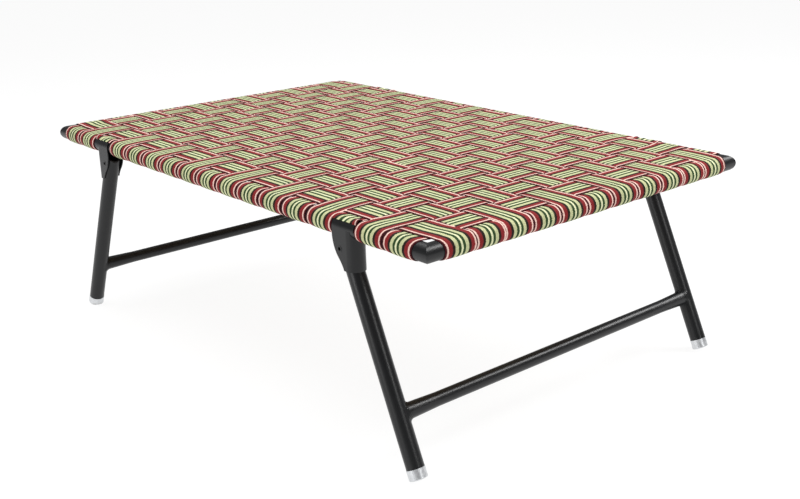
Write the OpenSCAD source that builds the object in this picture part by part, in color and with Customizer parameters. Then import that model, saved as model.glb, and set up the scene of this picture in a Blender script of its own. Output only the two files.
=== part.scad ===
// Raised dog bed: a woven webbing deck on a mitred tube frame, carried by two
// folding leg frames that hinge in brackets clipped to the long rails.
// Units are millimetres. X runs along the bed, Y across it, Z up. The origin is
// on the floor under the middle of the deck, with both leg frames open.

/* [Webbing] */
// Width of one web
web_width = 51.5; // [50:0.5:56]
// Thickness of one web
web_thickness = 1.2; // [1:0.1:1.4]
// Gap between neighbouring crosswise webs
cross_gap = 6; // [4:0.1:7]
// Gap between neighbouring lengthwise webs
long_gap = 1.9; // [1.6:0.1:5]
// Bare rail left at each corner
corner_bare = 27; // [27:1:36]

/* [Rails] */
// Diameter of the four rails
rail_dia = 25.4; // [22:0.1:26]
// Wall thickness of every tube
tube_wall = 1.5; // [1.2:0.1:2]

/* [Leg frames] */
// Diameter of the leg tubes
leg_dia = 25.4; // [22:0.1:25.4]
// Diameter of the crossbars
bar_dia = 20; // [16:0.5:20.5]
// Distance from the pivot to the end of the foot cap
leg_length = 320; // [270:1:325]
// Growth of the crossbar's radius where it meets the legs
bar_flare = 2.2; // [0.5:0.1:2.3]
// Distance from the pivot to the crossbar
bar_drop = 232; // [150:1:245]
// Outward lean of the open legs
splay = 24; // [18:1:26]
// Diameter of the foot caps
cap_dia = 26.2; // [25.8:0.1:28]
// Height of the foot caps below the tube
cap_length = 15; // [12:1:20]

/* [Brackets] */
// Thickness of the bracket plate
plate = 1.5; // [1.2:0.1:2.2]
// Distance the bracket hangs below the rail axis
bracket_drop = 57; // [50:1:60]
// Diameter of the hollow pivot rivets
rivet_dia = 8; // [7:0.1:9]

/* [Colours] */
// Black finish of the steelwork
steel_color = "#1c1c1e";
// Colour of the crosswise webs
cross_color = "#8c2b33";
// Colour of the lengthwise webs
long_color = "#a9b878";
// Bright finish of the foot caps and the web screws
bright_color = "#c4c6c8";

/* [Hidden] */
$fn = 96;

// Deck layout
cross_count = 17;
long_count = 11;
left_slot = 3;
right_slot = 15;
cross_pitch = web_width + cross_gap;
long_pitch = web_width + long_gap;
rail_r = rail_dia / 2;
wrap_r = rail_r + web_thickness;
rail_x = ((cross_count - 1) * cross_pitch + web_width) / 2 + corner_bare - rail_r;
rail_y = ((long_count - 1) * long_pitch + web_width) / 2 + corner_bare - rail_r;

// Leg layout: a folded leg lies just under the webs that wrap the long rail.
leg_r = leg_dia / 2;
bar_r = bar_dia / 2;
cap_r = cap_dia / 2;
cap_edge = 1.6;
cap_spigot = 14;
cap_bore = 12;
fold_gap = 1.4;
foot_flat = 1.2;
pivot_drop = wrap_r + leg_r + fold_gap;
foot_rounding = cap_edge * (cos(splay) + sin(splay) - 1);
pivot_z = leg_length * cos(splay) + cap_r * sin(splay) - foot_rounding - foot_flat;
slot_offset = 6.5;
pivot_x = (right_slot - (cross_count + 1) / 2) * cross_pitch - slot_offset;
leg_top_r = leg_r + fold_gap - 0.3;
weld_flare = 5;
weld_steps = 4;
weld_inset = 0.4;
bar_end_r = min(bar_r + bar_flare, leg_r - weld_inset);
bar_end_length = 65;

// Deck heights
rail_z = pivot_z + pivot_drop;
deck_z = rail_z + rail_r + web_thickness / 2;
weave_clearance = 0.3;
weave_rise = (web_thickness + weave_clearance) / 2;

// Web ends and their screws, as angles round the rail from its inner side
tail_angle = -12;
screw_angle = -38;
screw_dia = 3.9;
screw_head_dia = 8.5;
screw_head = 2;
screw_root = 7;
hole_slack = 0.1;

// Bracket
clip_r = max(leg_r, rail_r) + 0.3;
clip_rim = clip_r + plate;
clip_lip = 44;
clip_in = 15.5;
clip_out = 31;
rivet_r = rivet_dia / 2;
rivet_bore = 5.4;
rivet_flange_r = 4.7;
rivet_flange = 0.3;
running_gap = 0.05;
spigot_gap = 0.05;
stop_gap = 0.35;
stop_run = (bracket_drop - pivot_drop + leg_r * sin(splay)) / cos(splay);
wall_in = leg_r * cos(splay) + stop_run * sin(splay) + stop_gap;
wall_out = wall_in + plate;
tongue_width = 34;
tongue_start = 108;
tongue_end = 180 - clip_lip - 1.5;

// ---- deck layout ----

function cross_x(i) = (i - (cross_count + 1) / 2) * cross_pitch;

function long_y(j) = (j - (long_count + 1) / 2) * long_pitch;

function in_slot(i) = i == left_slot || i == right_slot;

// +1 where crosswise web i passes over lengthwise web j, -1 where it passes under
function cross_side(i, j) = (i + j) % 2 == 1 ? 1 : -1;

// Line of a woven web: level over every crossing, a ramp in every gap
function weave_line(half_run, centres, sides) = concat(
    [[-half_run, 0]],
    [
        for (k = [0 : len(centres) - 1], e = [-1, 1])
            [centres[k] + e * web_width / 2, sides[k] * weave_rise]
    ],
    [[half_run, 0]]
);

function thicken(line, half) = concat(
    [for (p = line) [p[0], p[1] + half]],
    [for (k = [len(line) - 1 : -1 : 0]) [line[k][0], line[k][1] - half]]
);

// ---- shared shapes ----

module on_both_ends() {
    children();
    mirror([0, 1, 0])
        children();
}

// Turns a shape that runs along Y into one that runs along X.
module lengthwise() {
    rotate([0, 0, -90])
        children();
}

// Spreads a profile drawn in the Y-Z plane along X, centred on X = 0.
module spread(width) {
    rotate([90, 0, 90])
        translate([0, 0, -width / 2])
            linear_extrude(width)
                children();
}

// A pie slice between two angles, long enough to cut any ring here
module slice(from, to) {
    reach = 4 * rail_dia;
    steps = 8;
    rim = [
        for (k = [0 : steps])
            let (a = from + (to - from) * k / steps)
            [reach * cos(a), reach * sin(a)]
    ];
    polygon(concat([[0, 0]], rim));
}

module ring_part(inner, outer, from, to) {
    intersection() {
        difference() {
            circle(r = outer);
            circle(r = inner);
        }
        slice(from, to);
    }
}

// ---- rails ----

// Points a cylinder from the rail axis towards a web screw; the deck's middle
// is on the -Y side.
module screw_axis() {
    rotate([90 - screw_angle, 0, 0])
        children();
}

// A rail along X, mitred at both ends and drilled for its web screws
module rail(half_length, holes) {
    difference() {
        rotate([0, 90, 0])
            cylinder(r = rail_r, h = 2 * (half_length + rail_r), center = true);
        rotate([0, 90, 0])
            cylinder(r = rail_r - tube_wall, h = 2 * (half_length + rail_dia), center = true);
        for (side = [0, 1])
            mirror([side, 0, 0])
                translate([half_length, 0, 0])
                    rotate([0, 0, -45])
                        translate([rail_dia, 0, 0])
                            cube([2 * rail_dia, 4 * rail_dia, 2 * rail_dia], center = true);
        for (x = holes)
            translate([x, 0, 0])
                screw_axis()
                    cylinder(d = screw_dia + hole_slack, h = 2 * rail_r);
    }
}

module long_rail() {
    rail(rail_x, [for (i = [1 : cross_count]) if (!in_slot(i)) cross_x(i)]);
}

module end_rail() {
    rail(rail_y, [for (j = [1 : long_count]) long_y(j)]);
}

module rail_back() {
    color(steel_color)
        translate([0, rail_y, rail_z])
            long_rail();
}

module rail_front() {
    color(steel_color)
        translate([0, -rail_y, rail_z])
            mirror([0, 1, 0])
                long_rail();
}

module rail_right() {
    color(steel_color)
        translate([rail_x, 0, rail_z])
            lengthwise()
                end_rail();
}

module rail_left() {
    color(steel_color)
        translate([-rail_x, 0, rail_z])
            mirror([1, 0, 0])
                lengthwise()
                    end_rail();
}

// ---- webs ----

// Places the profile of a web's end round the rail at the end of its run.
module round_rail(run, width) {
    translate([0, run, -rail_r - web_thickness / 2])
        spread(width)
            mirror([1, 0])
                children();
}

// A web end that goes round the rail and is screwed to its inner side
module wrapped_end(run) {
    difference() {
        round_rail(run, web_width)
            ring_part(rail_r, wrap_r, 90, 360 + tail_angle);
        translate([0, run, -rail_r - web_thickness / 2])
            screw_axis()
                cylinder(d = screw_dia + 2 * hole_slack, h = 2 * wrap_r);
    }
}

// A web end that narrows to a tongue and stops at a bracket lip
module tongue_end_piece(run, shift) {
    round_rail(run, web_width)
        ring_part(rail_r, wrap_r, 90, tongue_start);
    translate([shift, 0, 0])
        round_rail(run, tongue_width)
            ring_part(rail_r, wrap_r, tongue_start, tongue_end);
}

module woven_run(half_run, centres, sides) {
    spread(web_width)
        polygon(thicken(weave_line(half_run, centres, sides), web_thickness / 2));
}

module cross_web(i) {
    rows = [1 : long_count];
    translate([cross_x(i), 0, deck_z]) {
        woven_run(
            rail_y,
            [for (j = rows) long_y(j)],
            [for (j = rows) cross_side(i, j)]
        );
        on_both_ends()
            if (in_slot(i))
                tongue_end_piece(rail_y, i == left_slot ? slot_offset : -slot_offset);
            else
                wrapped_end(rail_y);
    }
}

module long_web(j) {
    rows = [1 : cross_count];
    translate([0, long_y(j), deck_z])
        lengthwise() {
            woven_run(
                rail_x,
                [for (i = rows) cross_x(i)],
                [for (i = rows) -cross_side(i, j)]
            );
            on_both_ends()
                wrapped_end(rail_x);
        }
}

// ---- web screws ----

module web_screw() {
    screw_axis() {
        translate([0, 0, screw_root])
            cylinder(d = screw_dia, h = wrap_r - screw_root + screw_head);
        translate([0, 0, wrap_r])
            cylinder(d = screw_head_dia, h = screw_head);
    }
}

module cross_web_screws() {
    color(bright_color)
        for (i = [1 : cross_count])
            if (!in_slot(i))
                on_both_ends()
                    translate([cross_x(i), rail_y, rail_z])
                        web_screw();
}

module long_web_screws() {
    color(bright_color)
        for (j = [1 : long_count])
            translate([0, long_y(j), rail_z])
                lengthwise()
                    on_both_ends()
                        translate([0, rail_x, 0])
                            web_screw();
}

// ---- brackets, drawn round the rail axis with the pivot below it ----

function curve(a, b, c, t) = (1 - t) * (1 - t) * a + 2 * t * (1 - t) * b + t * t * c;

// Side view of the bracket: upright at the round back, swept away at the
// inner end down to a narrow tip
module ear_outline() {
    heel = [-clip_in, -13];
    waist = [-4, -40];
    tip = [8, -bracket_drop];
    upper = [for (k = [0 : 5]) curve(heel, [-13.5, -29], waist, k / 5)];
    lower = [for (k = [1 : 5]) curve(waist, [3.5, -47], tip, k / 5)];
    polygon(concat(
        [[clip_out, 0], [-clip_in, 0]],
        upper,
        lower,
        [[wall_out, -bracket_drop], [wall_out, -7], [clip_out, -2.5]]
    ));
}

// Plan view of the channel: two ears joined by a round back
module channel_plan(end, half) {
    translate([-2 * clip_in, -half])
        square([2 * clip_in + end - half, 2 * half]);
    translate([end - half, 0])
        circle(r = half);
}

module bracket() {
    difference() {
        intersection() {
            translate([0, 0, -2 * bracket_drop])
                linear_extrude(2 * bracket_drop)
                    difference() {
                        channel_plan(wall_out, clip_rim);
                        channel_plan(wall_in, clip_r);
                    }
            rotate([90, 0, 0])
                linear_extrude(4 * clip_rim, center = true)
                    ear_outline();
        }
        rotate([0, 90, 0])
            cylinder(r = clip_r, h = 2 * wall_out);
        translate([0, 0, -pivot_drop])
            rotate([90, 0, 0])
                cylinder(r = rivet_r + running_gap / 2, h = 4 * clip_rim, center = true);
    }
    on_both_ends()
        translate([(clip_out - clip_in) / 2, 0, 0])
            spread(clip_in + clip_out)
                ring_part(rail_r + running_gap, clip_rim, 0, clip_lip);
}

module rivet() {
    difference() {
        union() {
            cylinder(r = rivet_r, h = 2 * clip_rim, center = true);
            for (side = [0, 1])
                mirror([0, 0, side])
                    translate([0, 0, clip_rim])
                        cylinder(r = rivet_flange_r, h = rivet_flange);
        }
        cylinder(d = rivet_bore, h = 4 * clip_rim, center = true);
    }
}

// Puts a right-hand shape at one end (-1 left, 1 right) of the front rail
// (-1) or the back rail (1).
module at_rail(end, side) {
    mirror([end < 0 ? 1 : 0, 0, 0])
        translate([pivot_x, side * rail_y, rail_z])
            children();
}

module placed_bracket(end, side) {
    color(steel_color)
        at_rail(end, side)
            bracket();
}

module placed_rivet(end, side) {
    color(steel_color)
        at_rail(end, side)
            translate([0, 0, -pivot_drop])
                rotate([90, 0, 0])
                    rivet();
}

// ---- leg frames, drawn hanging straight down from the pivot ----

// Opens a right-hand leg frame and mirrors it for the left one.
module open_frame(end) {
    mirror([end < 0 ? 1 : 0, 0, 0])
        translate([pivot_x, 0, pivot_z])
            rotate([0, -splay, 0])
                children();
}

// A leg tube with its top rounded about the pivot
module leg_tube() {
    difference() {
        translate([0, 0, cap_length - leg_length])
            cylinder(r = leg_r, h = leg_length - cap_length + leg_top_r);
        translate([0, 0, -leg_length])
            cylinder(r = leg_r - tube_wall, h = leg_length + 2 * leg_top_r);
        difference() {
            translate([0, 0, 2 * leg_r])
                cube(4 * leg_r, center = true);
            rotate([90, 0, 0])
                cylinder(r = leg_top_r, h = 6 * leg_r, center = true);
        }
        rotate([90, 0, 0])
            cylinder(r = rivet_r + running_gap, h = 4 * leg_r, center = true);
    }
}

module leg(end, side) {
    color(steel_color)
        open_frame(end)
            translate([0, side * rail_y, 0])
                leg_tube();
}

module crossbar(end) {
    color(steel_color)
        open_frame(end)
            translate([0, 0, -bar_drop])
                difference() {
                    union() {
                        rotate([90, 0, 0])
                            cylinder(r = bar_r, h = 2 * rail_y, center = true);
                        on_both_ends()
                            translate([0, rail_y, 0])
                                rotate([90, 0, 0])
                                    bar_end();
                    }
                    rotate([90, 0, 0])
                        cylinder(r = bar_r - tube_wall, h = 3 * rail_y, center = true);
                    for (side = [-1, 1])
                        translate([0, side * rail_y, 0])
                            cylinder(r = leg_r, h = 4 * bar_r, center = true);
                }
}

// A crossbar's flared end and its weld bead. The bead hugs the leg in small
// steps of a hollow quarter round and stays within the leg's width.
module bar_end() {
    cylinder(r1 = bar_end_r, r2 = bar_r, h = bar_end_length);
    intersection() {
        for (k = [1 : weld_steps]) {
            a = 90 * k / (weld_steps + 1);
            intersection() {
                cylinder(r = bar_end_r + weld_flare * (1 - sin(a)), h = 2 * leg_r);
                rotate([90, 0, 0])
                    cylinder(r = leg_r + weld_flare * (1 - cos(a)), h = 4 * leg_r, center = true);
            }
        }
        cube([2 * (leg_r - weld_inset), 4 * leg_r, 4 * leg_r], center = true);
    }
}

// A solid cap with a hollow spigot that plugs the end of the leg tube
module cap_shell() {
    difference() {
        union() {
            translate([0, 0, cap_edge])
                cylinder(r = cap_r, h = cap_length - cap_edge);
            cylinder(r = cap_r - cap_edge, h = cap_length);
            translate([0, 0, cap_edge])
                rotate_extrude()
                    translate([cap_r - cap_edge, 0])
                        circle(r = cap_edge);
            cylinder(r = leg_r - tube_wall - spigot_gap, h = cap_length + cap_spigot);
        }
        translate([0, 0, cap_length])
            cylinder(d = cap_bore, h = cap_spigot + 1);
    }
}

// A foot cap on the end of its leg, ground level where it stands on the floor
module foot_cap(end, side) {
    color(bright_color)
        difference() {
            open_frame(end)
                translate([0, side * rail_y, -leg_length])
                    cap_shell();
            translate([end * pivot_x, side * rail_y, -cap_dia])
                linear_extrude(cap_dia)
                    square([2 * leg_length, 4 * cap_r], center = true);
        }
}

// ---- one module per piece ----

module cross_web_01() {
    color(cross_color)
        cross_web(1);
}

module cross_web_02() {
    color(cross_color)
        cross_web(2);
}

module cross_web_03() {
    color(cross_color)
        cross_web(3);
}

module cross_web_04() {
    color(cross_color)
        cross_web(4);
}

module cross_web_05() {
    color(cross_color)
        cross_web(5);
}

module cross_web_06() {
    color(cross_color)
        cross_web(6);
}

module cross_web_07() {
    color(cross_color)
        cross_web(7);
}

module cross_web_08() {
    color(cross_color)
        cross_web(8);
}

module cross_web_09() {
    color(cross_color)
        cross_web(9);
}

module cross_web_10() {
    color(cross_color)
        cross_web(10);
}

module cross_web_11() {
    color(cross_color)
        cross_web(11);
}

module cross_web_12() {
    color(cross_color)
        cross_web(12);
}

module cross_web_13() {
    color(cross_color)
        cross_web(13);
}

module cross_web_14() {
    color(cross_color)
        cross_web(14);
}

module cross_web_15() {
    color(cross_color)
        cross_web(15);
}

module cross_web_16() {
    color(cross_color)
        cross_web(16);
}

module cross_web_17() {
    color(cross_color)
        cross_web(17);
}

module long_web_01() {
    color(long_color)
        long_web(1);
}

module long_web_02() {
    color(long_color)
        long_web(2);
}

module long_web_03() {
    color(long_color)
        long_web(3);
}

module long_web_04() {
    color(long_color)
        long_web(4);
}

module long_web_05() {
    color(long_color)
        long_web(5);
}

module long_web_06() {
    color(long_color)
        long_web(6);
}

module long_web_07() {
    color(long_color)
        long_web(7);
}

module long_web_08() {
    color(long_color)
        long_web(8);
}

module long_web_09() {
    color(long_color)
        long_web(9);
}

module long_web_10() {
    color(long_color)
        long_web(10);
}

module long_web_11() {
    color(long_color)
        long_web(11);
}

module bracket_front_left() {
    placed_bracket(-1, -1);
}

module bracket_front_right() {
    placed_bracket(1, -1);
}

module bracket_back_left() {
    placed_bracket(-1, 1);
}

module bracket_back_right() {
    placed_bracket(1, 1);
}

module rivet_front_left() {
    placed_rivet(-1, -1);
}

module rivet_front_right() {
    placed_rivet(1, -1);
}

module rivet_back_left() {
    placed_rivet(-1, 1);
}

module rivet_back_right() {
    placed_rivet(1, 1);
}

module leg_front_left() {
    leg(-1, -1);
}

module leg_front_right() {
    leg(1, -1);
}

module leg_back_left() {
    leg(-1, 1);
}

module leg_back_right() {
    leg(1, 1);
}

module foot_cap_front_left() {
    foot_cap(-1, -1);
}

module foot_cap_front_right() {
    foot_cap(1, -1);
}

module foot_cap_back_left() {
    foot_cap(-1, 1);
}

module foot_cap_back_right() {
    foot_cap(1, 1);
}

module crossbar_left() {
    crossbar(-1);
}

module crossbar_right() {
    crossbar(1);
}

rail_front();
rail_back();
rail_left();
rail_right();
cross_web_01();
cross_web_02();
cross_web_03();
cross_web_04();
cross_web_05();
cross_web_06();
cross_web_07();
cross_web_08();
cross_web_09();
cross_web_10();
cross_web_11();
cross_web_12();
cross_web_13();
cross_web_14();
cross_web_15();
cross_web_16();
cross_web_17();
long_web_01();
long_web_02();
long_web_03();
long_web_04();
long_web_05();
long_web_06();
long_web_07();
long_web_08();
long_web_09();
long_web_10();
long_web_11();
cross_web_screws();
long_web_screws();
bracket_front_left();
bracket_front_right();
bracket_back_left();
bracket_back_right();
rivet_front_left();
rivet_front_right();
rivet_back_left();
rivet_back_right();
leg_front_left();
leg_back_left();
crossbar_left();
foot_cap_front_left();
foot_cap_back_left();
leg_front_right();
leg_back_right();
crossbar_right();
foot_cap_front_right();
foot_cap_back_right();
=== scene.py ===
import math

import bpy
import numpy as np
from mathutils import Matrix, Vector


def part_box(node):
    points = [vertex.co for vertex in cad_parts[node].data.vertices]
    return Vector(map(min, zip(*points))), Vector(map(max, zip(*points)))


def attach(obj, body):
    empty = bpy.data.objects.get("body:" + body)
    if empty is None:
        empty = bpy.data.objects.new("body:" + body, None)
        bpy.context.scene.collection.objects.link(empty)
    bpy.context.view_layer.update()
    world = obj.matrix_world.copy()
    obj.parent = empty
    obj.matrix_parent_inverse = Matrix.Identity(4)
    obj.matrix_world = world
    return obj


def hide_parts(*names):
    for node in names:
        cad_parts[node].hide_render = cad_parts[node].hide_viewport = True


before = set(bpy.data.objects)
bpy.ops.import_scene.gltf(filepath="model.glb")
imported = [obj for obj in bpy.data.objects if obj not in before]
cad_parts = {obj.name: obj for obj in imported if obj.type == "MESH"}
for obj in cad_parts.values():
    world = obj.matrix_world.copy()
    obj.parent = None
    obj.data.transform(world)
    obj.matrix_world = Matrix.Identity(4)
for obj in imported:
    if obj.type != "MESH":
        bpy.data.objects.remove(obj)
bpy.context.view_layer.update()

# ---------------------------------------------------------------- the webs' measures, in metres
CROSS = 17               # crosswise webs, numbered from the left
LONG = 11                # lengthwise webs, numbered from the front
WEB_THICK = 0.0010
RAIL_GAP = 0.0001        # between a web and the rail it goes round
WEAVE_RISE = 0.00075     # of a web over or under the deck plane
CROWN = 0.0010           # bulge of a web's middle where it goes round a rail
CROSS_SPREAD = 0.0015    # of each edge past the CAD web's edge
LONG_SPREAD = 0.0007
RAIL_FLARE = 0.0010      # further spread of each edge over the rails
OUTER_FLARE = 0.0034     # outward lean of the outermost webs' bare edges
WANDER = 0.0004          # slow sideways drift all along a web
CROSS_DRIFT = {12: 0.0010, 13: 0.0028, 14: 0.0045, 16: -0.0040, 17: -0.0034}  # at the rails
LONG_DRIFT = {1: 0.0050, 2: 0.0030, 10: -0.0020, 11: -0.0030}

# Angles round a rail from its top: where the webs at the brackets stop, and where the others end.
LIP_STOP = math.radians(44.5)
TAIL = math.radians(258)

# ---------------------------------------------------------------- layout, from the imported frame
front_low, front_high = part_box("rail_front")
right_low, right_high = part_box("rail_right")
rail_y = -(front_low.y + front_high.y) / 2
rail_z = (front_low.z + front_high.z) / 2
rail_r = (front_high.z - front_low.z) / 2
rail_x = (right_low.x + right_high.x) / 2
wrap_mid = rail_r + WEB_THICK / 2 + RAIL_GAP


def middle(node, axis):
    low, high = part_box(node)
    return (low[axis] + high[axis]) / 2


cross_x = [middle(f"cross_web_{i:02d}", 0) for i in range(1, CROSS + 1)]
long_y = [middle(f"long_web_{j:02d}", 1) for j in range(1, LONG + 1)]
cross_pitch = cross_x[9] - cross_x[8]
long_pitch = long_y[5] - long_y[4]
web_low, web_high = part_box("cross_web_09")
web_width = web_high.x - web_low.x
half_width = web_width / 2 + LONG_SPREAD


# ---------------------------------------------------------------- node helpers
def new_material(name):
    material = bpy.data.materials.new(name)
    material.use_nodes = True
    nodes = material.node_tree.nodes
    shader = nodes["Principled BSDF"]
    return material, nodes, material.node_tree.links, shader


def feed(links, value, socket):
    """Set a number on a socket, or link an output to it."""
    if isinstance(value, (int, float)):
        socket.default_value = value
    else:
        links.new(value, socket)


def math_node(nodes, links, operation, a, b=None, clamp=False):
    node = nodes.new("ShaderNodeMath")
    node.operation = operation
    node.use_clamp = clamp
    feed(links, a, node.inputs[0])
    if b is not None:
        feed(links, b, node.inputs[1])
    return node.outputs[0]


def noise_node(nodes, links, vector, scale, detail=3.0, rough=0.55):
    node = nodes.new("ShaderNodeTexNoise")
    node.inputs["Scale"].default_value = scale
    node.inputs["Detail"].default_value = detail
    node.inputs["Roughness"].default_value = rough
    links.new(vector, node.inputs["Vector"])
    return node.outputs["Fac"]


def stretched(nodes, links, vector, scale):
    """The vector scaled along each axis, so that a noise on it runs in streaks."""
    node = nodes.new("ShaderNodeMapping")
    node.inputs["Scale"].default_value = scale
    links.new(vector, node.inputs["Vector"])
    return node.outputs["Vector"]


def remap(nodes, links, value, source, target):
    """The value carried from one (low, high) range to another."""
    node = nodes.new("ShaderNodeMapRange")
    feed(links, value, node.inputs["Value"])
    node.inputs["From Min"].default_value, node.inputs["From Max"].default_value = source
    node.inputs["To Min"].default_value, node.inputs["To Max"].default_value = target
    return node.outputs["Result"]


def mix_color(nodes, links, mode, factor, a, b):
    node = nodes.new("ShaderNodeMix")
    node.data_type = "RGBA"
    node.blend_type = mode
    feed(links, factor, node.inputs["Factor"])
    for value, socket in ((a, node.inputs["A"]), (b, node.inputs["B"])):
        if isinstance(value, tuple):
            socket.default_value = value
        else:
            links.new(value, socket)
    return node.outputs["Result"]


def grey(nodes, links, value):
    """A number as a colour with three equal channels."""
    node = nodes.new("ShaderNodeCombineColor")
    for socket in node.inputs[:3]:
        links.new(value, socket)
    return node.outputs["Color"]


def bump_node(nodes, links, height, distance, strength=1.0, under=None):
    node = nodes.new("ShaderNodeBump")
    node.inputs["Distance"].default_value = distance
    node.inputs["Strength"].default_value = strength
    links.new(height, node.inputs["Height"])
    if under is not None:
        links.new(under, node.inputs["Normal"])
    return node.outputs["Normal"]


def linear(red, green, blue):
    """A linear colour from display values of 0 to 255."""
    def channel(v):
        v /= 255
        return v / 12.92 if v <= 0.04045 else ((v + 0.055) / 1.055) ** 2.4
    return (channel(red), channel(green), channel(blue), 1.0)


# ---------------------------------------------------------------- materials
CREAM = linear(228, 230, 186)
GREEN = linear(44, 70, 34)
LIME = linear(199, 202, 154)
INK = linear(34, 24, 16)
RED = linear(134, 33, 36)
PINK = linear(243, 205, 192)
EDGE = linear(74, 18, 24)

# Where each stripe starts, in millimetres from the web's middle line.
STRIPES = [
    (0.0, CREAM),
    (1.6, GREEN),
    (5.8, LIME),
    (11.0, INK),
    (15.2, RED),
    (21.3, PINK),
    (23.8, EDGE),
]
STRIPE_BLUR = 0.007      # half the width of the blend between stripes, in half widths
STRIPE_WOBBLE = 0.00022  # sideways, in metres
YARN = 0.00128           # between the yarns that run along a web, in metres
PICK = 0.0027            # between their dips, in metres


def stripe_ramp(nodes, links, place):
    """The stripe colour at a place across, 0 in the middle and 1 at the edge."""
    ramp = nodes.new("ShaderNodeValToRGB")
    links.new(place, ramp.inputs["Fac"])
    wanted = []
    for k, (start, color) in enumerate(STRIPES):
        if k:
            wanted.append((start / 1000 / half_width + STRIPE_BLUR, color))
        if k + 1 < len(STRIPES):
            wanted.append((STRIPES[k + 1][0] / 1000 / half_width - STRIPE_BLUR, color))
    stops = ramp.color_ramp.elements
    stops[0].position, stops[0].color = wanted[0]
    stops[1].position, stops[1].color = wanted[-1]
    for position, color in wanted[1:-1]:
        stops.new(position).color = color
    return ramp.outputs["Color"]


def webbing_material():
    """Striped webbing: coloured yarns run along the web and dip under each cross pick, with painted
    shade in the dips.
    """
    material, nodes, links, shader = new_material("striped_webbing")
    uv_map = nodes.new("ShaderNodeUVMap")
    uv_map.uv_map = "web"
    uv = uv_map.outputs["UV"]
    split = nodes.new("ShaderNodeSeparateXYZ")
    links.new(uv, split.inputs["Vector"])
    across, along = split.outputs["X"], split.outputs["Y"]

    wobble = noise_node(nodes, links, uv, scale=260.0, detail=1.0)
    shift = remap(nodes, links, wobble, (0.3, 0.7), (-STRIPE_WOBBLE, STRIPE_WOBBLE))
    shifted = math_node(nodes, links, "ADD", across, shift)
    from_middle = math_node(nodes, links, "ABSOLUTE", shifted)
    place = math_node(nodes, links, "DIVIDE", from_middle, half_width)
    stripes = stripe_ramp(nodes, links, place)

    yarn = math_node(nodes, links, "DIVIDE", across, YARN)
    odd = math_node(nodes, links, "MODULO", math_node(nodes, links, "FLOOR", yarn), 2.0)
    half_step = math_node(nodes, links, "MULTIPLY", odd, 0.5)
    picks = math_node(nodes, links, "DIVIDE", along, PICK)
    pick = math_node(nodes, links, "ADD", picks, half_step)
    in_yarn = math_node(nodes, links, "PINGPONG", yarn, 0.5)
    in_pick = math_node(nodes, links, "PINGPONG", pick, 0.5)
    ridge = math_node(nodes, links, "SINE", math_node(nodes, links, "MULTIPLY", in_yarn, math.pi))
    bead = math_node(nodes, links, "SINE", math_node(nodes, links, "MULTIPLY", in_pick, math.pi))
    weave = math_node(
        nodes, links, "MULTIPLY",
        math_node(nodes, links, "POWER", ridge, 0.6),
        math_node(nodes, links, "POWER", bead, 0.5),
    )
    streaks = stretched(nodes, links, uv, (1.0, 0.12, 1.0))
    fibre = noise_node(nodes, links, streaks, scale=5200.0, detail=2.0)
    patch = noise_node(nodes, links, uv, scale=9.0)
    tint = noise_node(nodes, links, uv, scale=70.0, detail=2.0)

    # Painted shade: the colour darkens where the yarns dip, between them and under each pick. It
    # also varies at random in patches and along the fibres.
    dip_shade_and_tone = math_node(
        nodes, links, "MULTIPLY",
        remap(nodes, links, weave, (0.0, 0.8), (0.78, 1.03)),
        remap(nodes, links, patch, (0.25, 0.75), (0.90, 1.08)),
    )
    fibre_shade = remap(nodes, links, fibre, (0.3, 0.7), (0.9, 1.08))
    dip_shade_and_tone = math_node(nodes, links, "MULTIPLY", dip_shade_and_tone, fibre_shade)
    shaded = mix_color(nodes, links, "MULTIPLY", 1.0, stripes, grey(nodes, links, dip_shade_and_tone))
    tinted = mix_color(nodes, links, "OVERLAY", 0.10, shaded, grey(nodes, links, tint))
    links.new(tinted, shader.inputs["Base Color"])
    links.new(remap(nodes, links, weave, (0.0, 1.0), (0.86, 0.60)), shader.inputs["Roughness"])
    shader.inputs["Specular IOR Level"].default_value = 0.12
    shader.inputs["Sheen Weight"].default_value = 0.04
    shader.inputs["Sheen Roughness"].default_value = 0.45
    fibres = bump_node(nodes, links, fibre, distance=0.00008, strength=0.5)
    surface = bump_node(nodes, links, weave, distance=0.00030, strength=0.6, under=fibres)
    links.new(surface, shader.inputs["Normal"])
    return material


def coat_material():
    """Satin black powder coat with a fine orange peel and faint scuffs."""
    material, nodes, links, shader = new_material("black_powder_coat")
    where = nodes.new("ShaderNodeTexCoord").outputs["Object"]
    peel = noise_node(nodes, links, where, scale=420.0, detail=2.0)
    grain = noise_node(nodes, links, where, scale=1900.0, detail=2.0)
    haze = noise_node(nodes, links, where, scale=16.0, detail=4.0)
    streaks = stretched(nodes, links, where, (1.0, 1.0, 0.12))
    scuff = noise_node(nodes, links, streaks, scale=240.0, detail=5.0, rough=0.7)
    mark = remap(nodes, links, scuff, (0.70, 0.80), (0.0, 1.0))
    worn_patch = remap(nodes, links, haze, (0.52, 0.68), (0.0, 0.5))
    worn = math_node(nodes, links, "MULTIPLY", mark, worn_patch, clamp=True)
    base = mix_color(nodes, links, "MIX", remap(nodes, links, haze, (0.3, 0.7), (0.0, 1.0)),
                     linear(12, 13, 15), linear(17, 18, 20))
    color = mix_color(nodes, links, "MIX", worn, base, linear(48, 49, 51))
    links.new(color, shader.inputs["Base Color"])
    rough = math_node(nodes, links, "ADD",
                      remap(nodes, links, haze, (0.3, 0.7), (0.30, 0.36)),
                      math_node(nodes, links, "MULTIPLY", worn, 0.25))
    links.new(rough, shader.inputs["Roughness"])
    shader.inputs["Specular IOR Level"].default_value = 0.38
    fine = bump_node(nodes, links, grain, distance=0.000003, strength=0.1)
    surface = bump_node(nodes, links, peel, distance=0.000004, strength=0.1, under=fine)
    links.new(surface, shader.inputs["Normal"])
    return material


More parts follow.
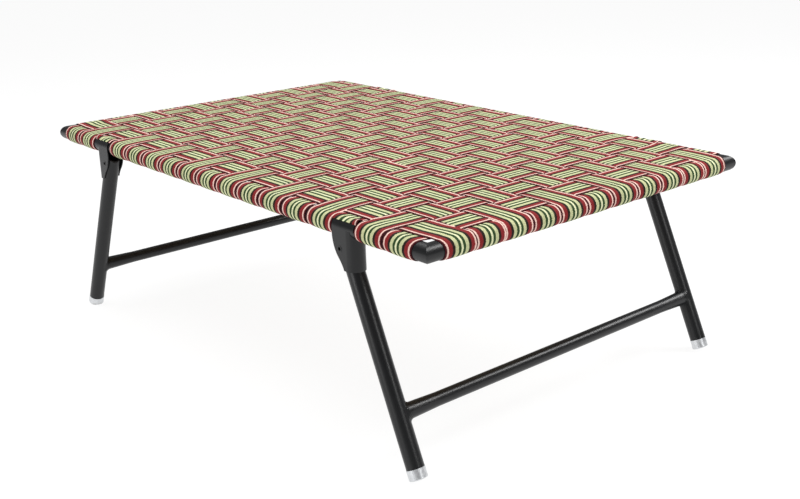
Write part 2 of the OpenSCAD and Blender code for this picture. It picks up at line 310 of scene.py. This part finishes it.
def cap_material():
    """Satin aluminium, drawn round the cap and scuffed where it meets the floor."""
    material, nodes, links, shader = new_material("satin_foot_cap")
    where = nodes.new("ShaderNodeTexCoord").outputs["Object"]
    rings = stretched(nodes, links, where, (0.15, 0.15, 1.0))
    lines = noise_node(nodes, links, rings, scale=2600.0)
    cloud = noise_node(nodes, links, where, scale=130.0, detail=4.0)
    height = nodes.new("ShaderNodeSeparateXYZ")
    links.new(where, height.inputs["Vector"])
    near_floor = remap(nodes, links, height.outputs["Z"], (0.0, 0.006), (1.0, 0.0))
    dirty_patch = remap(nodes, links, cloud, (0.45, 0.65), (0.0, 0.6))
    dirt = math_node(nodes, links, "MULTIPLY", near_floor, dirty_patch, clamp=True)
    base = mix_color(nodes, links, "MIX", remap(nodes, links, cloud, (0.3, 0.7), (0.0, 1.0)),
                     linear(205, 207, 210), linear(222, 224, 226))
    color = mix_color(nodes, links, "MIX", dirt, base, linear(120, 118, 114))
    links.new(color, shader.inputs["Base Color"])
    shader.inputs["Metallic"].default_value = 0.85
    links.new(remap(nodes, links, cloud, (0.3, 0.7), (0.32, 0.46)), shader.inputs["Roughness"])
    surface = bump_node(nodes, links, lines, distance=0.00003, strength=0.5)
    links.new(surface, shader.inputs["Normal"])
    return material


def zinc_material():
    """Zinc plate with a mottled grain, for the screws."""
    material, nodes, links, shader = new_material("zinc_screw")
    where = nodes.new("ShaderNodeTexCoord").outputs["Object"]
    cloud = noise_node(nodes, links, where, scale=600.0)
    color = mix_color(nodes, links, "MIX", cloud, linear(150, 152, 156), linear(200, 202, 204))
    links.new(color, shader.inputs["Base Color"])
    shader.inputs["Metallic"].default_value = 1.0
    links.new(remap(nodes, links, cloud, (0.3, 0.7), (0.28, 0.42)), shader.inputs["Roughness"])
    surface = bump_node(nodes, links, cloud, distance=0.00003, strength=0.4)
    links.new(surface, shader.inputs["Normal"])
    return material


webbing = webbing_material()
coat = coat_material()
satin_cap = cap_material()
zinc = zinc_material()


def dress(node, material):
    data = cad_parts[node].data
    data.materials.clear()
    data.materials.append(material)


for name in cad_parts:
    if name.startswith("foot_cap"):
        dress(name, satin_cap)
    elif name.endswith("web_screws"):
        dress(name, zinc)
    elif "_web_" not in name:
        dress(name, coat)


# ---------------------------------------------------------------- woven webs
# Below, u is a place across a web, -1 to 1 from edge to edge, and s a distance along it from its
# middle, in metres.
SOFTNESS = 0.16          # how rounded the steps of the weave are
EASE_FROM = 0.40         # where a web leaves its last crossing for the rail, in pitches

# Rows of points along a web: at these places round each crossing, in pitches, then up to the
# rail, then round it.
STEPS = (-0.46, -0.42, -0.36, -0.27, -0.14, 0.0, 0.14, 0.27, 0.36, 0.42, 0.46, 0.5)
LAST_STEP = 0.46         # after the last crossing, where the rows up to the rail begin
END_ROWS = 6
ROW_GAP = 0.0005
ARC_ROWS = 26

# Points across a web: how many, how much they crowd to the edges, and how the edge is rounded.
FLAT_POINTS = 15
TUCKED_POINTS = 41
CROWDING = 0.45
EDGE_SIDE = 0.55         # of the full thickness, at the last point of each face
EDGE_REACH = 1.004       # the edge's own point

# Windows over which something comes in, as distances in metres from the rail's middle line.
FLARE_WINDOW = (-0.036, -0.014)
DRIFT_WINDOW = (-0.046, 0.004)
LEAN_WINDOW = (-0.004, 0.016)
OUTERMOST = 0.05         # a web nearer than this to the rail beside it has a bare edge

# Windows over angles round the rail, in radians: the crown comes in, goes out, the weave ends.
CROWN_IN = (0.15, 1.2)
CROWN_OUT = (3.6, 4.4)
WEAVE_OUT = (0.0, 0.25)

UV_STEP = 3.7            # between the webs' places in the textures, so that no two look alike
LONG_SEED = 40           # added to a lengthwise web's number, so that its drift is its own

# A web that stops at a bracket, in place of its wrap: the window in which it is pinched, from
# its end; where four lines along it move to, as (u, u at the lip); and its lifts, in metres.
TUCKED_WEBS = {3: -1, CROSS - 2: 1}  # and the way to the bed's nearer end, along x
PINCH_WINDOW = (-0.024, -0.002)
PINCH_LINES = [(-1.0, -0.93), (-0.62, -0.80), (0.55, 0.60), (1.0, 0.96)]
SWELL = 0.012            # length of the lifted border
FRONT_BORDER_LIFT = 0.0038
BACK_BORDER_LIFT = 0.0014
BORDER = (0.30, 0.86)    # u where the lifted border begins and is full
FOLD_LIFT = 0.0018
FOLD_U, FOLD_SIZE = -0.78, 0.13
PLEAT_LIFT = 0.0012
PLEAT_FROM = (-0.7, -0.4)
PLEAT_TURN = 12.5        # radians in one u
PLEAT_SHIFT = 0.9        # radians
PLEAT_SLANT = 90.0       # radians in one metre along the web


def squared(offset):
    """A wave of the offset in pitches: near 1 over a crossing, falling steeply to 0 in each gap."""
    wave = np.cos(math.pi * offset)
    return wave / np.sqrt(wave**2 + SOFTNESS**2) * math.sqrt(1 + SOFTNESS**2)


def smooth(value, low, high):
    """0 below low, 1 above high and a smooth step between."""
    t = np.clip((value - low) / (high - low), 0.0, 1.0)
    return t * t * (3 - 2 * t)


def coming_in(s, place, window):
    """A smooth step over a window of distances along a web, either way from its middle."""
    return smooth(np.abs(s), place + window[0], place + window[1])


def level(place, centres, pitch, rail):
    """How far a web is held up or down at a place, 0 to 1, and which crossing is nearest."""
    nearest = np.clip(np.rint((place - centres[0]) / pitch), 0, len(centres) - 1).astype(int)
    offset = (place - (centres[0] + nearest * pitch)) / pitch
    first, last = nearest == 0, nearest == len(centres) - 1
    outward = (first & (offset < 0)) | (last & (offset > 0))
    reach = (rail - abs(centres[0])) / pitch
    ease = 1 - smooth(np.abs(offset), EASE_FROM, reach)
    return np.where(outward, ease, np.clip(squared(offset), 0.0, 1.0)), nearest


def deck_height(x, y, crosswise):
    """Height of a web's middle over the deck plane; crosswise webs go over where i + j is odd."""
    at_x, i = level(x, cross_x, cross_pitch, rail_x)
    at_y, j = level(y, long_y, long_pitch, rail_y)
    side = np.where((i + j) % 2 == 1, 1.0, -1.0)
    if crosswise:
        return side * WEAVE_RISE * at_y * (2 - at_x)
    return -side * WEAVE_RISE * at_x * (2 - at_y)


def stations(centres, pitch, rail):
    """Places of the rows of points between the rails, closer together where the web dips."""
    ends = np.linspace(centres[-1] + pitch * LAST_STEP, rail, END_ROWS + 1)[1:]
    places = [c + pitch * step for c in centres for step in STEPS]
    places = [p for p in places if abs(p) < ends[0] - ROW_GAP]
    return np.array(sorted(list(-ends) + places + list(ends)))


def run_line(centres, pitch, rail, turn):
    """Each row's distance along the web, place along the deck and angle round a rail."""
    straight = stations(centres, pitch, rail)
    arc = np.linspace(0, turn, ARC_ROWS + 1)[1:]
    at_rail = np.full(ARC_ROWS, rail)
    places = np.concatenate([-at_rail, straight, at_rail])
    angles = np.concatenate([-arc[::-1], np.zeros(len(straight)), arc])
    return places + angles * wrap_mid, places, angles


def loop_of(count):
    """The web's section as a closed loop of (u, side), side 1 on top and -1 below."""
    t = np.linspace(-1, 1, count)
    across = np.sin(t * math.pi / 2) * CROWDING + t * (1 - CROWDING)
    top = [(u, 1.0) for u in across]
    top[0], top[-1] = (across[0], EDGE_SIDE), (across[-1], EDGE_SIDE)
    below = [(u, -side) for u, side in reversed(top)]
    return top + [(EDGE_REACH, 0.0)] + below + [(-EDGE_REACH, 0.0)]


def skin(name, rings, uv_rings):
    """A skin through rings of points (rows, points, 3), with a cap of quads on both ends."""
    rows, count = rings.shape[:2]
    faces = []
    for k in range(rows - 1):
        for q in range(count):
            r = (q + 1) % count
            faces.append((k * count + q, k * count + r,
                          (k + 1) * count + r, (k + 1) * count + q))
    for base, flip in ((0, True), ((rows - 1) * count, False)):
        for q in range(count // 2 - 2):
            quad = (base + q, base + q + 1, base + count - 3 - q, base + count - 2 - q)
            faces.append(quad[::-1] if flip else quad)
    mesh = bpy.data.meshes.new(name)
    mesh.from_pydata(rings.reshape(-1, 3).tolist(), [], faces)
    layer = mesh.uv_layers.new(name="web")
    flat = uv_rings.reshape(-1, 2)
    index = np.zeros(len(mesh.loops), np.int32)
    mesh.loops.foreach_get("vertex_index", index)
    layer.data.foreach_set("uv", flat[index].astype(np.float32).ravel())
    mesh.validate()
    mesh.polygons.foreach_set("use_smooth", [True] * len(mesh.polygons))
    obj = bpy.data.objects.new(name, mesh)
    bpy.context.scene.collection.objects.link(obj)
    return obj


def wander(seed, s, size):
    """A slow sideways drift along a web: a steady shift and two waves."""
    return size * (math.sin(seed * 2.3 + 0.7) * 0.5
                   + np.sin(s * 9.0 + seed * 1.7) * 0.3
                   + np.sin(s * 23.0 + seed * 4.1) * 0.2)


def tuck(u, s, outward):
    """Where a web is pinched at a bracket's lip: its place across and its lift off the rail."""
    end = rail_y + LIP_STOP * wrap_mid
    near = coming_in(s, end, PINCH_WINDOW)
    pinched = np.interp(u, *zip(*PINCH_LINES))
    place = u + (pinched - u) * near
    swell = np.sin(math.pi * np.clip((np.abs(s) - end + SWELL) / SWELL, 0.0, 1.0))
    border = smooth(u, *BORDER)
    border_lift = swell * np.where(s < 0, FRONT_BORDER_LIFT, BACK_BORDER_LIFT) * border
    fold = np.exp(-((u - FOLD_U) / FOLD_SIZE) ** 2)
    wave = np.sin(u * PLEAT_TURN + outward * PLEAT_SHIFT + np.abs(s) * PLEAT_SLANT)
    pleat = 0.5 + 0.5 * wave
    flat_part = (1 - border) * smooth(u, *PLEAT_FROM)
    lift = border_lift + near * (FOLD_LIFT * fold + PLEAT_LIFT * pleat * flat_part)
    return place, lift


def woven_web(name, seed, crosswise, centre, drift=0.0, turn=TAIL, tucked=False, outward=1):
    """A web over and under its neighbours and round both rails, drifting sideways at its ends."""
    if crosswise:
        centres, pitch, rail, rail_beside = long_y, long_pitch, rail_y, rail_x
        half = half_width + (CROSS_SPREAD - LONG_SPREAD)
    else:
        centres, pitch, rail, rail_beside = cross_x, cross_pitch, rail_x, rail_y
        half = half_width
    s, place, angle = (row[:, None] for row in run_line(centres, pitch, rail, turn))
    section = np.array(loop_of(TUCKED_POINTS if tucked else FLAT_POINTS))
    u, side = section[None, :, 0], section[None, :, 1]

    # sideways: the place across, its drifts, and the lean of an outermost web's bare edge
    across, lift = u, 0
    if tucked:
        across, lift = tuck(u * outward, s, outward)
        across = across * outward
    b = across * half + wander(seed, s, WANDER)
    b = (b + u * coming_in(s, rail, FLARE_WINDOW) * RAIL_FLARE
         + drift * coming_in(s, rail, DRIFT_WINDOW))
    if abs(centre) > rail_beside - OUTERMOST:
        away = math.copysign(1.0, centre)
        bare_side = np.clip(u * away, 0.0, 1.0)
        b = b + away * OUTER_FLARE * bare_side * (1 - coming_in(s, rail, LEAN_WINDOW))
    sideways = centre + b

    # up, and round the rails
    rise = deck_height(sideways, place, True) if crosswise else deck_height(place, sideways, False)
    held = np.abs(angle)
    bulge = CROWN * (1 - u**2) * (smooth(held, *CROWN_IN) * (1 - smooth(held, *CROWN_OUT)))
    weave = rise * (1 - smooth(held, *WEAVE_OUT))
    radius = wrap_mid + bulge + lift + weave + side * WEB_THICK / 2
    along = place + np.sin(angle) * radius
    up = rail_z + np.cos(angle) * radius

    points = np.stack([sideways, along, up] if crosswise else [along, sideways, up], axis=2)
    uv = np.stack(np.broadcast_arrays(u * half_width, s + seed * UV_STEP), axis=2)
    obj = skin(name, points, uv)
    if not crosswise:
        obj.data.flip_normals()
    return obj


def finish_web(obj, node):
    obj.data.materials.append(webbing)
    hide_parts(node)
    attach(obj, "deck_frame")


for i in range(1, CROSS + 1):
    tucked = i in TUCKED_WEBS
    turn = LIP_STOP if tucked else TAIL
    web = woven_web(f"crosswise_web_{i:02d}", i, True, cross_x[i - 1], CROSS_DRIFT.get(i, 0.0),
                    turn, tucked, TUCKED_WEBS.get(i, 1))
    finish_web(web, f"cross_web_{i:02d}")
for j in range(1, LONG + 1):
    web = woven_web(f"lengthwise_web_{j:02d}", LONG_SEED + j, False, long_y[j - 1],
                    LONG_DRIFT.get(j, 0.0))
    finish_web(web, f"long_web_{j:02d}")

# ---------------------------------------------------------------- floor and light
FLOOR_HALF = 9

scene = bpy.context.scene
floor_mesh = bpy.data.meshes.new("floor")
floor_mesh.from_pydata(
    [(x * FLOOR_HALF, y * FLOOR_HALF, 0) for x, y in ((-1, -1), (1, -1), (1, 1), (-1, 1))],
    [], [(0, 1, 2, 3)])
floor = bpy.data.objects.new("floor", floor_mesh)
scene.collection.objects.link(floor)
floor_material, _, _, floor_shader = new_material("pale_floor")
floor_shader.inputs["Base Color"].default_value = (0.14, 0.14, 0.14, 1.0)
floor_shader.inputs["Roughness"].default_value = 0.9
floor_shader.inputs["Emission Color"].default_value = (1.0, 1.0, 1.0, 1.0)
floor_shader.inputs["Emission Strength"].default_value = 0.90
floor_mesh.materials.append(floor_material)

world = bpy.data.worlds.new("studio")
world.use_nodes = True
background = world.node_tree.nodes["Background"]
background.inputs["Color"].default_value = (1.0, 1.0, 1.0, 1.0)
background.inputs["Strength"].default_value = 0.26
scene.world = world


def soft_light(name, place, target, size, power):
    """A rectangular light, size in metres and power in watts, aimed at its target."""
    data = bpy.data.lights.new(name, "AREA")
    data.shape = "RECTANGLE"
    data.size, data.size_y = size
    data.energy = power
    obj = bpy.data.objects.new(name, data)
    obj.location = place
    obj.rotation_euler = (Vector(target) - Vector(place)).to_track_quat("-Z", "Y").to_euler()
    scene.collection.objects.link(obj)


soft_light("overhead", (-0.5, -0.2, 2.5), (0.0, 0, 0.2), (2.4, 1.6), 54)
soft_light("behind", (1.2, 1.85, 2.1), (0.3, 0, 0.3), (1.4, 1.0), 56)
soft_light("front", (0.0, -2.9, 0.75), (0.1, 0, 0.25), (0.9, 1.3), 22)
soft_light("right_side", (2.9, 0.2, 1.3), (0.2, 0, 0.2), (0.6, 1.0), 12)

# ---------------------------------------------------------------- camera, fitted to the photo
AZIMUTH = math.radians(47.534)
ELEVATION = math.radians(15.975)
ROLL = math.radians(-1.155)
EYE = (1.5300, -1.1812, 0.4520)  # from the deck's middle at the rails' height, in metres

camera_data = bpy.data.cameras.new("camera")
camera_data.sensor_width = 36.0
camera_data.lens = 52.383
camera_data.shift_x = -0.0846
camera_data.shift_y = -0.0607
camera_data.clip_start = 0.05
camera = bpy.data.objects.new("camera", camera_data)
back = Vector((
    math.sin(AZIMUTH) * math.cos(ELEVATION),
    -math.cos(AZIMUTH) * math.cos(ELEVATION),
    math.sin(ELEVATION),
))
right = (-back).cross(Vector((0, 0, 1))).normalized()
up = right.cross(-back)
turned_right = right * math.cos(ROLL) + up * math.sin(ROLL)
turned_up = up * math.cos(ROLL) - right * math.sin(ROLL)
pose = Matrix((turned_right, turned_up, back)).transposed().to_4x4()
pose.translation = Vector((EYE[0], EYE[1], EYE[2] + rail_z))
camera.matrix_world = pose
scene.collection.objects.link(camera)
scene.camera = camera

scene.view_settings.view_transform = "Standard"
